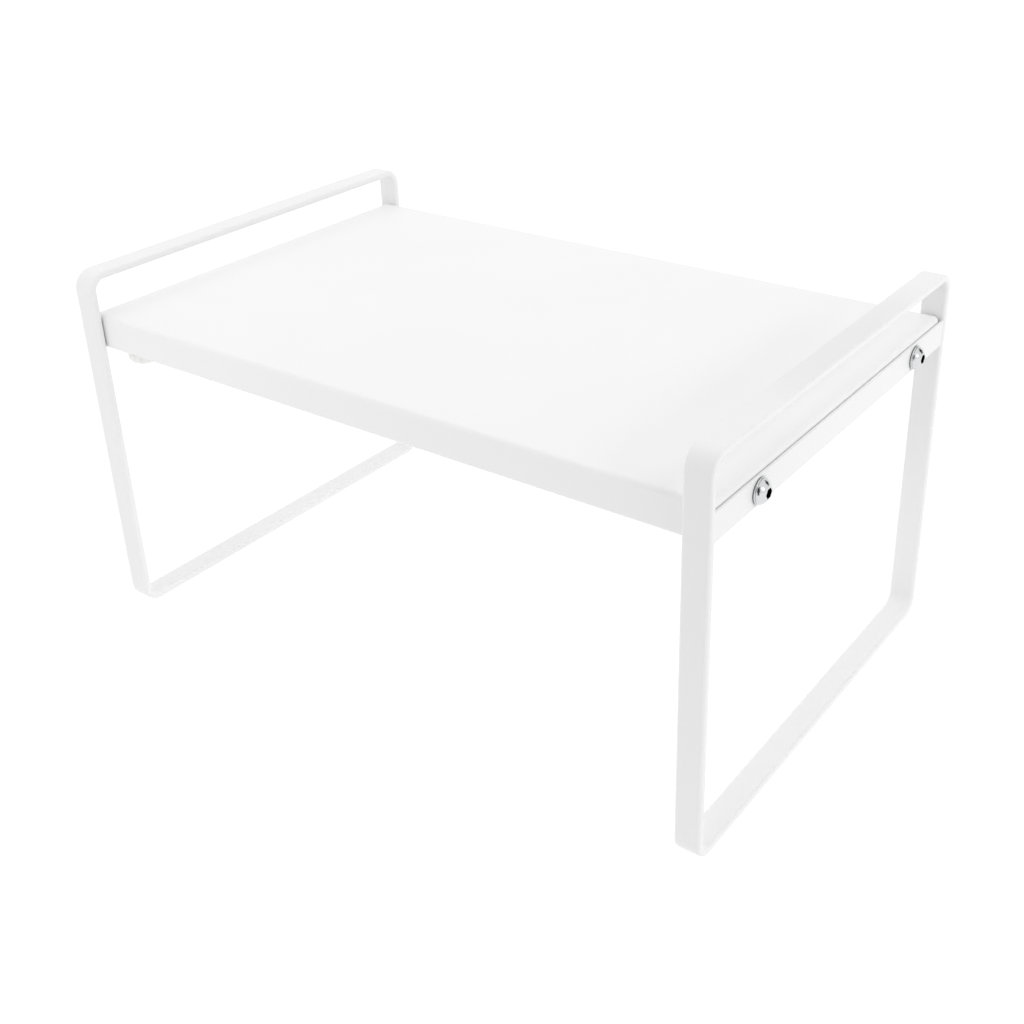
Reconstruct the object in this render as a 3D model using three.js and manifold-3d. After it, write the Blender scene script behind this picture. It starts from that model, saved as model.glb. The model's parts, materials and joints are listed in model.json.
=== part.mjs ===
// Expandable cabinet shelf: two bent flat-bar side frames carry a pair of nested sheet-metal pans.
// The outer pan is bolted to the right frame and the inner pan to the left one, so the shelf pulls out
// to the left, and a thumb screw under each long edge of the outer pan clamps the two together.
// Millimetres, +Z up, +X to the right end, -Y to the front. The origin is on the floor under the middle
// of the shelf when it is pushed together.

import * as THREE from 'three';
import { mergeVertices } from 'three/addons/utils/BufferGeometryUtils.js';
import Module from 'manifold-3d';

const wasm = await Module();
wasm.setup();

// Driving dimensions of the whole shelf
const LENGTH = 320; // over the outer faces of the two crossbars, pushed together
const DEPTH = 202.6; // over the front and back legs
const HEIGHT = 170; // floor to the top of the side frames
const GUARD_RISE = 19.5; // how far the side frames stand above the shelf
const EXTENSION = 190; // how far the left half pulls out

// Side frames, bent from flat bar
const BAR_WIDTH = 11.2;
const BAR_THICKNESS = 3.4;
const BAR_EDGE = 1; // rounding of the bar's edges
const BAR_PROUD = 0.5; // how far the bar stands out past its crossbar
const BEND_INSIDE = 5; // inside radius of the bends

// Crossbars, flat strips welded between the legs
const CROSSBAR_HEIGHT = 11.5;
const CROSSBAR_THICKNESS = 1.2;
const CROSSBAR_EDGE = 0.4; // rounding of the long edges
const CROSSBAR_DROP = 2.2; // top edge below the top of the pan that it carries

// Pans, folded from sheet
const SHEET = 1;
const SKIRT = 15.5; // outer pan, top to underside of the lip
const EDGE_INSIDE = 1.2; // inside radius of the folds between top and skirts
const CORNER_INSIDE = 1.5; // inside radius of the upright corners
const LIP_INSIDE = 0.5; // inside radius of the folds between skirts and lips
const LEG_GAP = 0.4; // between the outer pan and the legs
const FLANGE_GAP = 0.2; // between a crossbar and the flange bolted to it, left by the coats
const SIDE_GAP = 0.6; // between the nested pans at the skirts
const SLIDE_GAP = 0.4; // between the nested pans at the tops and the lips
const MOUTH_GAP = 4.3; // between the outer pan's open end and the left crossbar
const LIP_SETBACK = 6.5; // from a pan's closed end to where its lips start

// Frame bolts, button heads with a hex socket
const BOLT_INSET = 33.8; // from the outside of the front and back legs
const BOLT_RADIUS = 2.5;
const BOLT_LENGTH = 10; // under the head
const BOLT_TIP = 0.5; // chamfer at the end of the thread
const HEAD_RADIUS = 4.75;
const HEAD_HEIGHT = 2.75;
const HEAD_RIM = 0.4; // straight edge below the dome
const HEAD_CROWN = 2.4; // radius of the flat on top of the dome
const SOCKET_FLATS = 3.7;
const SOCKET_DEPTH = 1.7;
const WASHER_RADIUS = 5;
const WASHER_THICKNESS = 1;
const NUT_FLATS = 8;
const NUT_HEIGHT = 4;
const NUT_FACE_RADIUS = 3.75; // round face inside the chamfers
const NUT_CHAMFER_ANGLE = Math.PI / 6;
const NUT_FOLD_GAP = 0.2; // nut below the fold of its flange
const TIP_ROOM = 9; // from the bolt ends to the inner pan's open end

// Slide locks, thumb screws through the lips
const LOCK_INSET_X = 20; // from the outer pan's open end
const LOCK_INSET_Y = 8; // from the face of the outer skirt
const LIP_BEYOND_LOCK = 8;
const INNER_LIP_BEYOND_LOCK = 7;
const STUD_RADIUS = 2.5;
const STUD_TIP = 0.5;
const STUD_EMBED = 3.4; // length moulded into the knob
const STUD_PAST_NUT = 1.3;
const KNOB_RADIUS = 7.25;
const KNOB_HEIGHT = 4.5;
const KNOB_EDGE = 0.8;
const KNOB_FLUTES = 12;
const KNOB_FLUTE_DEPTH = 0.5;
const LOCK_NUT_FLATS = 8;
const LOCK_NUT_HEIGHT = 4;
const LOCK_NUT_LIFT = 0.3; // nut above the lip while the lock is loose
const KNOB_GAP = 0.2; // knob below the lip while the lock is loose

// Clearance of every hole round its bolt or stud
const HOLE_GAP = 0.3;
const SLOT_END_GAP = 0.5; // stud to the end of its slot, at both ends of the travel

// Smoothness of the round shapes
const ROUND_SEGMENTS = 24;
const BEND_SEGMENTS = 4;
const EDGE_SEGMENTS = 3;
const FLUTE_STEPS = 4;
const CUT_MARGIN = 1; // how far a cutting shape runs past what it cuts
const MERGE_DISTANCE = 1e-4; // corners of a solid closer than this are one corner

// Places that follow from the sizes above
const legInside = DEPTH / 2 - BAR_THICKNESS;
const edgeRadius = EDGE_INSIDE + SHEET;
const lipFold = LIP_INSIDE + SHEET;
const outer = {
  halfDepth: legInside - LEG_GAP,
  top: HEIGHT - GUARD_RISE,
  closedEnd: LENGTH / 2 - CROSSBAR_THICKNESS - FLANGE_GAP,
  openEnd: LENGTH / 2 - CROSSBAR_THICKNESS - MOUTH_GAP,
  lip: LOCK_INSET_Y + LIP_BEYOND_LOCK,
};
outer.bottom = outer.top - SKIRT;
const inner = {
  halfDepth: outer.halfDepth - SHEET - SIDE_GAP,
  top: outer.top - SHEET - SLIDE_GAP,
  bottom: outer.bottom + SHEET + SLIDE_GAP,
  closedEnd: outer.closedEnd,
  openEnd: LENGTH / 2 + WASHER_THICKNESS - BOLT_LENGTH - TIP_ROOM,
  lip: LOCK_INSET_Y + INNER_LIP_BEYOND_LOCK - SHEET - SIDE_GAP,
};
const lock = {
  x: -outer.openEnd + LOCK_INSET_X,
  y: outer.halfDepth - LOCK_INSET_Y,
  knobTop: outer.bottom - KNOB_GAP,
  nutBottom: inner.bottom + SHEET + LOCK_NUT_LIFT,
};
const boltSide = DEPTH / 2 - BOLT_INSET;
const crossbarTop = { right: outer.top - CROSSBAR_DROP, left: inner.top - CROSSBAR_DROP };
const boltHeight = { right: boltHeightUnder(outer), left: boltHeightUnder(inner) };
const boltHole = BOLT_RADIUS + HOLE_GAP;
const studHole = STUD_RADIUS + HOLE_GAP;

// Bolts sit in the middle of the crossbar, or lower if the nut would meet the fold above it.
function boltHeightUnder({ top }) {
  const middle = top - CROSSBAR_DROP - CROSSBAR_HEIGHT / 2;
  return Math.min(middle, top - edgeRadius - NUT_FOLD_GAP - NUT_FLATS / 2);
}

// Finishes
const powderCoat = new THREE.MeshStandardMaterial({ color: 0xf2f2f1, roughness: 0.45, metalness: 0 });
const platedSteel = new THREE.MeshStandardMaterial({ color: 0xc9cbcd, roughness: 0.22, metalness: 1 });
const whiteNylon = new THREE.MeshStandardMaterial({ color: 0xe9e9e7, roughness: 0.55, metalness: 0 });

// Turns a closed geometry into a solid that can be joined and cut.
function solidOf(geometry) {
  const bare = geometry.clone();
  bare.deleteAttribute('normal');
  bare.deleteAttribute('uv');
  const merged = mergeVertices(bare, MERGE_DISTANCE);
  const corners = merged.index.array;
  const triangles = [];
  for (let i = 0; i < corners.length; i += 3) {
    const [a, b, c] = corners.slice(i, i + 3);
    if (a !== b && b !== c && c !== a) triangles.push(a, b, c);
  }
  return new wasm.Manifold(new wasm.Mesh({
    numProp: 3,
    vertProperties: new Float32Array(merged.attributes.position.array),
    triVerts: new Uint32Array(triangles),
  }));
}

function geometryOf(solid) {
  const { vertProperties, triVerts } = solid.getMesh();
  const geometry = new THREE.BufferGeometry();
  geometry.setAttribute('position', new THREE.BufferAttribute(vertProperties, 3));
  geometry.setIndex(new THREE.BufferAttribute(triVerts, 1));
  geometry.computeVertexNormals();
  return geometry;
}

// Box between two corners
function block([x0, y0, z0], [x1, y1, z1]) {
  const geometry = new THREE.BoxGeometry(x1 - x0, y1 - y0, z1 - z0);
  return solidOf(geometry.translate((x0 + x1) / 2, (y0 + y1) / 2, (z0 + z1) / 2));
}

// Extrudes a shape from Z = 0 by a depth, with both of its rims rounded by edge.
function extruded(shape, depth, edge = 0) {
  return new THREE.ExtrudeGeometry(shape, {
    depth: depth - 2 * edge,
    curveSegments: BEND_SEGMENTS,
    bevelEnabled: edge > 0,
    bevelThickness: edge,
    bevelSize: edge,
    bevelOffset: -edge,
    bevelSegments: EDGE_SEGMENTS,
  }).translate(0, 0, edge);
}

// Shape drawn in (Y, Z), extruded along X from x0 to x1
function alongX(shape, x0, x1, edge) {
  const turn = new THREE.Matrix4().makeBasis(
    new THREE.Vector3(0, 1, 0), new THREE.Vector3(0, 0, 1), new THREE.Vector3(1, 0, 0));
  return extruded(shape, x1 - x0, edge).applyMatrix4(turn).translate(x0, 0, 0);
}

// Shape drawn in (X, Y), extruded upwards from z0 to z1
function upward(shape, z0, z1, edge) {
  return extruded(shape, z1 - z0, edge).translate(0, 0, z0);
}

// Round bar along X at a place in Y and Z
function rodX(radius, x0, x1, y, z) {
  const geometry = new THREE.CylinderGeometry(radius, radius, x1 - x0, ROUND_SEGMENTS);
  return solidOf(geometry.rotateZ(-Math.PI / 2).translate((x0 + x1) / 2, y, z));
}

// Upright round bar at a place in X and Y
function rodZ(radius, z0, z1, x = 0, y = 0) {
  const geometry = new THREE.CylinderGeometry(radius, radius, z1 - z0, ROUND_SEGMENTS);
  return solidOf(geometry.rotateX(Math.PI / 2).translate(x, y, (z0 + z1) / 2));
}

// Revolved about Z, from (radius, height) pairs that start and end on the axis
function turned(profile) {
  const points = profile.map(([radius, height]) => new THREE.Vector2(radius, height));
  return new THREE.LatheGeometry(points, ROUND_SEGMENTS).rotateX(Math.PI / 2);
}

// The same along X
function turnedX(profile) {
  return solidOf(turned(profile).rotateY(Math.PI / 2));
}

// Hexagonal bar along X, with a flat at the top
function hexX(flats, x0, x1) {
  const radius = flats / Math.sqrt(3);
  const geometry = new THREE.CylinderGeometry(radius, radius, x1 - x0, 6);
  return solidOf(geometry.rotateZ(-Math.PI / 2).rotateX(Math.PI / 2).translate((x0 + x1) / 2, 0, 0));
}

// Rounded rectangle as a path
function roundedRectangle(path, x0, y0, x1, y1, radius) {
  path.moveTo(x0 + radius, y0);
  path.lineTo(x1 - radius, y0);
  path.absarc(x1 - radius, y0 + radius, radius, -Math.PI / 2, 0, false);
  path.lineTo(x1, y1 - radius);
  path.absarc(x1 - radius, y1 - radius, radius, 0, Math.PI / 2, false);
  path.lineTo(x0 + radius, y1);
  path.absarc(x0 + radius, y1 - radius, radius, Math.PI / 2, Math.PI, false);
  path.lineTo(x0, y0 + radius);
  path.absarc(x0 + radius, y0 + radius, radius, Math.PI, Math.PI * 1.5, false);
  return path;
}

// Side frame: one length of flat bar bent to a closed loop, standing out past the crossbar at X = 0
function frameLoop() {
  const half = DEPTH / 2;
  const shape = roundedRectangle(new THREE.Shape(), -half, 0, half, HEIGHT, BEND_INSIDE + BAR_THICKNESS);
  shape.holes.push(roundedRectangle(new THREE.Path(), -legInside, BAR_THICKNESS, legInside,
    HEIGHT - BAR_THICKNESS, BEND_INSIDE));
  return solidOf(alongX(shape, BAR_PROUD - BAR_WIDTH, BAR_PROUD, BAR_EDGE));
}

// Crossbar: a flat strip with eased long edges and two bolt holes, its outer face at X = 0
function crossbar(side) {
  const top = crossbarTop[side];
  const bottom = top - CROSSBAR_HEIGHT;
  const section = roundedRectangle(new THREE.Shape(), -CROSSBAR_THICKNESS, bottom, 0, top, CROSSBAR_EDGE);
  const length = 2 * legInside;
  let strip = solidOf(extruded(section, length).rotateX(Math.PI / 2).translate(0, length / 2, 0));
  for (const y of [-boltSide, boltSide]) {
    strip = strip.subtract(
      rodX(boltHole, -CROSSBAR_THICKNESS - CUT_MARGIN, CUT_MARGIN, y, boltHeight[side]));
  }
  return strip;
}

// Block with the plan of a pan and a rounded top, running well past the pan's open end and underside
function panBlock(sizes, inset) {
  const radius = CORNER_INSIDE + SHEET - inset;
  const edge = edgeRadius - inset;
  const end = sizes.closedEnd - inset;
  const half = sizes.halfDepth - inset;
  const start = -sizes.openEnd - edgeRadius - CUT_MARGIN;
  const plan = new THREE.Shape();
  plan.moveTo(start, -half);
  plan.lineTo(end - radius, -half);
  plan.absarc(end - radius, -half + radius, radius, -Math.PI / 2, 0, false);
  plan.lineTo(end, half - radius);
  plan.absarc(end - radius, half - radius, radius, 0, Math.PI / 2, false);
  plan.lineTo(start, half);
  return solidOf(upward(plan, sizes.bottom - edgeRadius - CUT_MARGIN, sizes.top - inset, edge));
}

// Lip under the front skirt, with its fold, between two places along X
function frontLip(sizes, x0, x1) {
  const { bottom, halfDepth, lip } = sizes;
  const section = new THREE.Shape();
  section.moveTo(-halfDepth, bottom + lipFold + CUT_MARGIN);
  section.lineTo(-halfDepth, bottom + lipFold);
  section.absarc(-halfDepth + lipFold, bottom + lipFold, lipFold, Math.PI, Math.PI * 1.5, false);
  section.lineTo(-halfDepth + lip, bottom);
  section.lineTo(-halfDepth + lip, bottom + SHEET);
  section.lineTo(-halfDepth + lipFold, bottom + SHEET);
  section.absarc(-halfDepth + lipFold, bottom + lipFold, LIP_INSIDE, Math.PI * 1.5, Math.PI, true);
  section.lineTo(-halfDepth + SHEET, bottom + lipFold + CUT_MARGIN);
  return alongX(section, x0, x1);
}

// Pan: flat top, skirts with lips along front and back, a flange across the closed end at +X.
// The back lip is a front one turned half round.
function pan(sizes, holeHeight) {
  const walls = panBlock(sizes, 0).subtract(panBlock(sizes, SHEET));
  const room = block(
    [-sizes.openEnd, -sizes.halfDepth - CUT_MARGIN, sizes.bottom + lipFold],
    [sizes.closedEnd + CUT_MARGIN, sizes.halfDepth + CUT_MARGIN, sizes.top + CUT_MARGIN]);
  const lipEnd = sizes.closedEnd - LIP_SETBACK;
  let sheet = walls.intersect(room)
    .add(solidOf(frontLip(sizes, -sizes.openEnd, lipEnd)))
    .add(solidOf(frontLip(sizes, -lipEnd, sizes.openEnd).rotateZ(Math.PI)));
  for (const y of [-boltSide, boltSide]) {
    sheet = sheet.subtract(
      rodX(boltHole, sizes.closedEnd - SHEET - CUT_MARGIN, sizes.closedEnd + CUT_MARGIN, y, holeHeight));
  }
  return sheet;
}

// Outer pan: open to the left, with a hole for each lock stud in its lips
function outerPanel() {
  let sheet = pan(outer, boltHeight.right);
  for (const side of [-1, 1]) {
    const hole = rodZ(studHole, outer.bottom - CUT_MARGIN, outer.bottom + SHEET + CUT_MARGIN,
      lock.x, side * lock.y);
    sheet = sheet.subtract(hole);
  }
  return sheet;
}

// Inner pan: open to the right once it is turned round, with a long slot for each lock stud
function innerPanel() {
  let sheet = pan(inner, boltHeight.left);
  const pushedIn = -lock.x + SLOT_END_GAP + STUD_RADIUS;
  const pulledOut = -lock.x - EXTENSION - SLOT_END_GAP - STUD_RADIUS;
  for (const side of [-1, 1]) {
    const middle = side * lock.y;
    const slot = roundedRectangle(new THREE.Shape(), pulledOut, middle - studHole, pushedIn,
      middle + studHole, studHole);
    sheet = sheet.subtract(
      solidOf(upward(slot, inner.bottom - CUT_MARGIN, inner.bottom + SHEET + CUT_MARGIN)));
  }
  return sheet;
}

// Button-head bolt along X, the underside of its head at X = 0
function bolt() {
  const dome = [];
  const steps = EDGE_SEGMENTS + 1;
  for (let step = 0; step <= steps; step++) {
    const angle = (Math.PI / 2) * step / steps;
    dome.push([HEAD_CROWN + (HEAD_RADIUS - HEAD_CROWN) * Math.cos(angle),
      HEAD_RIM + (HEAD_HEIGHT - HEAD_RIM) * Math.sin(angle)]);
  }
  const body = turnedX([
    [0, -BOLT_LENGTH], [BOLT_RADIUS - BOLT_TIP, -BOLT_LENGTH], [BOLT_RADIUS, -BOLT_LENGTH + BOLT_TIP],
    [BOLT_RADIUS, 0], [HEAD_RADIUS, 0], ...dome, [0, HEAD_HEIGHT],
  ]);
  return body.subtract(hexX(SOCKET_FLATS, HEAD_HEIGHT - SOCKET_DEPTH, HEAD_HEIGHT + CUT_MARGIN));
}

// Flat washer along X, its inner face at X = 0
function washer() {
  const disc = rodX(WASHER_RADIUS, 0, WASHER_THICKNESS, 0, 0);
  return disc.subtract(rodX(boltHole, -CUT_MARGIN, WASHER_THICKNESS + CUT_MARGIN, 0, 0));
}

// Hex nut along X with both faces chamfered, its bearing face at X = 0 and its body towards -X
function hexNut() {
  const reach = NUT_FLATS / Math.sqrt(3) + CUT_MARGIN;
  const slope = (reach - NUT_FACE_RADIUS) * Math.tan(NUT_CHAMFER_ANGLE);
  const envelope = turnedX([
    [0, -NUT_HEIGHT], [NUT_FACE_RADIUS, -NUT_HEIGHT], [reach, -NUT_HEIGHT + slope],
    [reach, -slope], [NUT_FACE_RADIUS, 0], [0, 0],
  ]);
  return hexX(NUT_FLATS, -NUT_HEIGHT, 0).intersect(envelope)
    .subtract(rodX(boltHole, -NUT_HEIGHT - CUT_MARGIN, CUT_MARGIN, 0, 0));
}

// Thumb knob with a fluted grip, its bearing face at Z = 0 and its bore blind from above
function lockKnob() {
  const outline = new THREE.Shape();
  const steps = KNOB_FLUTES * FLUTE_STEPS;
  for (let step = 0; step < steps; step++) {
    const angle = 2 * Math.PI * step / steps;
    const radius = KNOB_RADIUS - KNOB_FLUTE_DEPTH * (1 - Math.cos(KNOB_FLUTES * angle)) / 2;
    const point = [radius * Math.cos(angle), radius * Math.sin(angle)];
    if (step === 0) outline.moveTo(...point);
    else outline.lineTo(...point);
  }
  return solidOf(upward(outline, -KNOB_HEIGHT, 0, KNOB_EDGE))
    .subtract(rodZ(studHole, -STUD_EMBED, CUT_MARGIN));
}

// Stud of the thumb screw, from the bottom of the knob's bore to past the nut
function lockStud(length) {
  return solidOf(turned([[0, 0], [STUD_RADIUS, 0], [STUD_RADIUS, length - STUD_TIP],
    [STUD_RADIUS - STUD_TIP, length], [0, length]]));
}

// Square nut that the skirt keeps from turning, its bearing face at Z = 0
function lockNut() {
  const half = LOCK_NUT_FLATS / 2;
  return block([-half, -half, 0], [half, half, LOCK_NUT_HEIGHT])
    .subtract(rodZ(studHole, -CUT_MARGIN, LOCK_NUT_HEIGHT + CUT_MARGIN));
}

function piece(parent, name, solid, material) {
  const mesh = new THREE.Mesh(geometryOf(solid), material);
  mesh.name = name;
  parent.add(mesh);
  return mesh;
}

// One end of the shelf: loop, crossbar, and the bolts that hold a pan to it, built with its outer edge at
// X = 0 and facing +X. The two names are those of the bolts towards -Y and +Y before the end is placed.
function endFrame(side, boltNames) {
  const end = new THREE.Group();
  piece(end, `${side}_frame_loop`, frameLoop(), powderCoat);
  piece(end, `${side}_crossbar`, crossbar(side), powderCoat);
  boltNames.forEach((place, index) => {
    const fixing = new THREE.Group();
    fixing.position.set(0, index === 0 ? -boltSide : boltSide, boltHeight[side]);
    piece(fixing, `${side}_${place}_washer`, washer(), platedSteel);
    piece(fixing, `${side}_${place}_bolt`, bolt(), platedSteel).position.x = WASHER_THICKNESS;
    piece(fixing, `${side}_${place}_nut`, hexNut(), platedSteel).position.x =
      -CROSSBAR_THICKNESS - FLANGE_GAP - SHEET;
    end.add(fixing);
  });
  return end;
}

// One slide lock, at the front (-1) or the rear (1) edge
function slideLock(name, side) {
  const group = new THREE.Group();
  group.position.set(lock.x, side * lock.y, 0);
  const studBottom = lock.knobTop - STUD_EMBED;
  const studTop = lock.nutBottom + LOCK_NUT_HEIGHT + STUD_PAST_NUT;
  piece(group, `${name}_lock_knob`, lockKnob(), whiteNylon).position.z = lock.knobTop;
  piece(group, `${name}_lock_stud`, lockStud(studTop - studBottom), platedSteel).position.z = studBottom;
  piece(group, `${name}_lock_nut`, lockNut(), platedSteel).position.z = lock.nutBottom;
  return group;
}

const rightHalf = new THREE.Group();
const rightEnd = endFrame('right', ['front', 'rear']);
rightEnd.position.x = LENGTH / 2;
rightHalf.add(rightEnd);
piece(rightHalf, 'outer_panel', outerPanel(), powderCoat);

const leftHalf = new THREE.Group();
const leftEnd = endFrame('left', ['rear', 'front']);
leftEnd.position.x = LENGTH / 2;
leftHalf.add(leftEnd);
piece(leftHalf, 'inner_panel', innerPanel(), powderCoat);
leftHalf.rotation.z = Math.PI;

const shelf = new THREE.Group();
shelf.add(rightHalf, leftHalf, slideLock('front', -1), slideLock('rear', 1));

export default shelf;
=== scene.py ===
# %% [markdown]
# # Expandable cabinet shelf
# A white steel shelf that stands inside a cabinet and doubles its floor. Two loops of bent flat bar are its
# ends. Two folded sheet-metal panels, one sliding inside the other, are its top, and a thumb screw under each
# long edge locks them. This lesson takes the plain solids of the shelf as a frame, models every piece again
# with the roundness and the small detail that a camera sees, and gives each one the finish of the real metal.
# Lengths are written in millimetres and multiplied by MM, because Blender works in metres.

# %% Load the frame
import json
import math
from contextlib import contextmanager

import bmesh
import bpy
from mathutils import Matrix, Vector


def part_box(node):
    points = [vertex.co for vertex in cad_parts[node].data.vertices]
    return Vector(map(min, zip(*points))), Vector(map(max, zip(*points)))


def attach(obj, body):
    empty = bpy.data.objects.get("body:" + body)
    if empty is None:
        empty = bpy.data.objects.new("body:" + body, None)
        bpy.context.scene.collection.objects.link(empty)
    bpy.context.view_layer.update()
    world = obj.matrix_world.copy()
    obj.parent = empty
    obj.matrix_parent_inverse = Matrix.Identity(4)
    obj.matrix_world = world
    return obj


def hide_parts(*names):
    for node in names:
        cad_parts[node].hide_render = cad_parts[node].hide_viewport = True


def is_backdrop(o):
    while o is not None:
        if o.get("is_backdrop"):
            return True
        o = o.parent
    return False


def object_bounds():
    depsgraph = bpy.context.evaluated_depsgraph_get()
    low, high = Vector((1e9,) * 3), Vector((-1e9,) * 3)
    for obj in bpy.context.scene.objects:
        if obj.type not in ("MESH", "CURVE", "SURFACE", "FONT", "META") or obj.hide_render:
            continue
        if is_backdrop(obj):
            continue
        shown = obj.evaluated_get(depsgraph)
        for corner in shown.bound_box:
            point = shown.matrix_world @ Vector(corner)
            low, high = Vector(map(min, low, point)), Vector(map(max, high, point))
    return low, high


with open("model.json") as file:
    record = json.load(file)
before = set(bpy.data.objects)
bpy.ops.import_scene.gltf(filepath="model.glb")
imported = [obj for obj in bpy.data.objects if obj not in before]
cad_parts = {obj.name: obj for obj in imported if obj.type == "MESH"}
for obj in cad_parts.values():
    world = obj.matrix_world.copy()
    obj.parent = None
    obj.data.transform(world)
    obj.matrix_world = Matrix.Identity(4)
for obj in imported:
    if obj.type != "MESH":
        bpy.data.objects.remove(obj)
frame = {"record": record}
cad_low, cad_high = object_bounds()
MM = 0.001
BODY_OF = {node: body for body, nodes in frame["record"]["behaviour"]["bodies"].items() for node in nodes}
print("frame:", len(BODY_OF), "nodes,", [round(side / MM, 1) for side in cad_high - cad_low], "mm")

# %% [markdown]
# ## Camera
# The photograph was taken from the front right, a little above the shelf. A camera could be turned by eye
# until the picture looks alike. Here its place and its three angles were measured instead, from the straight
# edges of the frame bars, so that the render and the photograph lie on top of each other. The lens axis met
# the picture a little right of and above its middle, and the shift puts it there.

# %% Camera
IMAGE_SIDE = 1024
LENS_AXIS_PIXEL = (542.98, 439.68)
FOCAL_PIXELS = 1346.66
SENSOR_WIDTH = 36
CAMERA_PLACE = Vector((339.6, -430.94, 365.59))
CAMERA_AZIMUTH = math.radians(36.64)
CAMERA_ELEVATION = math.radians(26.80)
CAMERA_ROLL = math.radians(-1.61)
NEAREST_SEEN = 10


def camera_matrix():
    """Where the camera stands and how it is turned, as a matrix of its right, up and backward directions."""
    level = math.cos(CAMERA_ELEVATION)
    back = Vector((math.sin(CAMERA_AZIMUTH) * level, -math.cos(CAMERA_AZIMUTH) * level,
                   math.sin(CAMERA_ELEVATION)))
    right = Vector((math.cos(CAMERA_AZIMUTH), math.sin(CAMERA_AZIMUTH), 0))
    turned_right = Matrix.Rotation(CAMERA_ROLL, 3, back) @ right
    rotation = Matrix((turned_right, back.cross(turned_right), back)).transposed()
    return Matrix.Translation(CAMERA_PLACE * MM) @ rotation.to_4x4()


bpy.ops.object.camera_add()
camera = bpy.context.active_object
camera.name = "photo_camera"
camera.matrix_world = camera_matrix()
camera.data.sensor_width = SENSOR_WIDTH
camera.data.lens = FOCAL_PIXELS / IMAGE_SIDE * SENSOR_WIDTH
camera.data.shift_x = (IMAGE_SIDE / 2 - LENS_AXIS_PIXEL[0]) / IMAGE_SIDE
camera.data.shift_y = (LENS_AXIS_PIXEL[1] - IMAGE_SIDE / 2) / IMAGE_SIDE
camera.data.clip_start = NEAREST_SEEN * MM
bpy.context.scene.camera = camera
print("camera: lens", round(camera.data.lens, 1), "mm, shift", round(camera.data.shift_x, 4),
      round(camera.data.shift_y, 4))

# %% [markdown]
# ## Helpers for modelling
# Every piece below starts as a primitive of the right size, is shaped in edit mode and is finished with
# modifiers, as it would be by hand. An operator acts on whatever is selected, so these helpers first clear
# the selection and then pick vertices, edges or faces by their place or their direction.

# %% Helpers
NEAR = 1e-5
ALIGNED = 0.99
SHARP_ABOVE = math.radians(45)
ROD_SIDES = 48
SELECT_MODE = {"verts": "VERT", "edges": "EDGE", "faces": "FACE"}


def add_block(name, low, high):
    """A cube stretched between two corners, with its place in its mesh."""
    bpy.ops.object.select_all(action="DESELECT")
    bpy.ops.mesh.primitive_cube_add(size=1, location=(low + high) / 2)
    bpy.ops.transform.resize(value=high - low)
    bpy.ops.object.transform_apply(location=True, rotation=True, scale=True)
    block = bpy.context.active_object
    block.name = name
    return block


def add_rod(radius, start, end, sides=ROD_SIDES):
    """A round rod, or a prism, between two points."""
    bpy.ops.object.select_all(action="DESELECT")
    run = end - start
    turn = run.to_track_quat("Z", "X").to_euler()
    bpy.ops.mesh.primitive_cylinder_add(vertices=sides, radius=radius * MM, depth=run.length,
                                        location=(start + end) / 2, rotation=turn)
    bpy.ops.object.transform_apply(location=True, rotation=True, scale=True)
    return bpy.context.active_object


@contextmanager
def editing(piece):
    """Opens one piece in edit mode with all of it selected, and closes it again."""
    bpy.ops.object.select_all(action="DESELECT")
    bpy.context.view_layer.objects.active = piece
    bpy.ops.object.mode_set(mode="EDIT")
    bpy.ops.mesh.select_mode(type="VERT")
    bpy.ops.mesh.select_all(action="SELECT")
    yield
    bpy.ops.object.mode_set(mode="OBJECT")


def pick(piece, kind, wanted):
    """Selects those verts, edges or faces that pass a test, and nothing else."""
    bpy.ops.mesh.select_mode(type=SELECT_MODE[kind])
    bpy.ops.mesh.select_all(action="DESELECT")
    mesh = bmesh.from_edit_mesh(piece.data)
    for part in getattr(mesh, kind):
        if wanted(part):
            part.select_set(True)
    bmesh.update_edit_mesh(piece.data)


def middle(edge):
    """The middle of an edge."""
    return (edge.verts[0].co + edge.verts[1].co) / 2


def runs_along(edge, axis):
    """Whether an edge runs along X (0), Y (1) or Z (2)."""
    run = edge.verts[1].co - edge.verts[0].co
    return abs(run[axis]) > ALIGNED * run.length


def round_sharp_edges(piece, radius, segments):
    """Rounds every edge where two faces meet at more than half a right angle."""
    with editing(piece):
        bpy.ops.mesh.select_mode(type="EDGE")
        bpy.ops.mesh.select_all(action="DESELECT")
        bpy.ops.mesh.edges_select_sharp(sharpness=SHARP_ABOVE)
        bpy.ops.mesh.bevel(offset=radius * MM, segments=segments, affect="EDGES")


def cut(piece, cutter, operation="DIFFERENCE"):
    """Cuts a piece with another mesh, which is used up."""
    boolean = piece.modifiers.new("cut", "BOOLEAN")
    boolean.operation = operation
    boolean.object = cutter
    bpy.context.view_layer.objects.active = piece
    bpy.ops.object.modifier_apply(modifier=boolean.name)
    bpy.data.objects.remove(cutter)


print("edges count as sharp above", round(math.degrees(SHARP_ABOVE)), "degrees")

# %% [markdown]
# ## Finishes
# Three finishes cover the shelf: powder coat on the frames and the panels, plating on the fasteners, and
# nylon on the knobs. Each one is a Principled shader whose colours are written as on a colour card and turned
# to linear light by one function. Patterns are sized in millimetres and read each piece's own coordinates, so
# they stay put when a panel slides.

# %% Colours and nodes


def linear(card_colour):
    """A colour such as #ECECEC as the linear red, green, blue and alpha that a shader takes."""
    channels = [int(card_colour[place:place + 2], 16) / 255 for place in (1, 3, 5)]
    return (*[c / 12.92 if c <= 0.04045 else ((c + 0.055) / 1.055) ** 2.4 for c in channels], 1)


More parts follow.
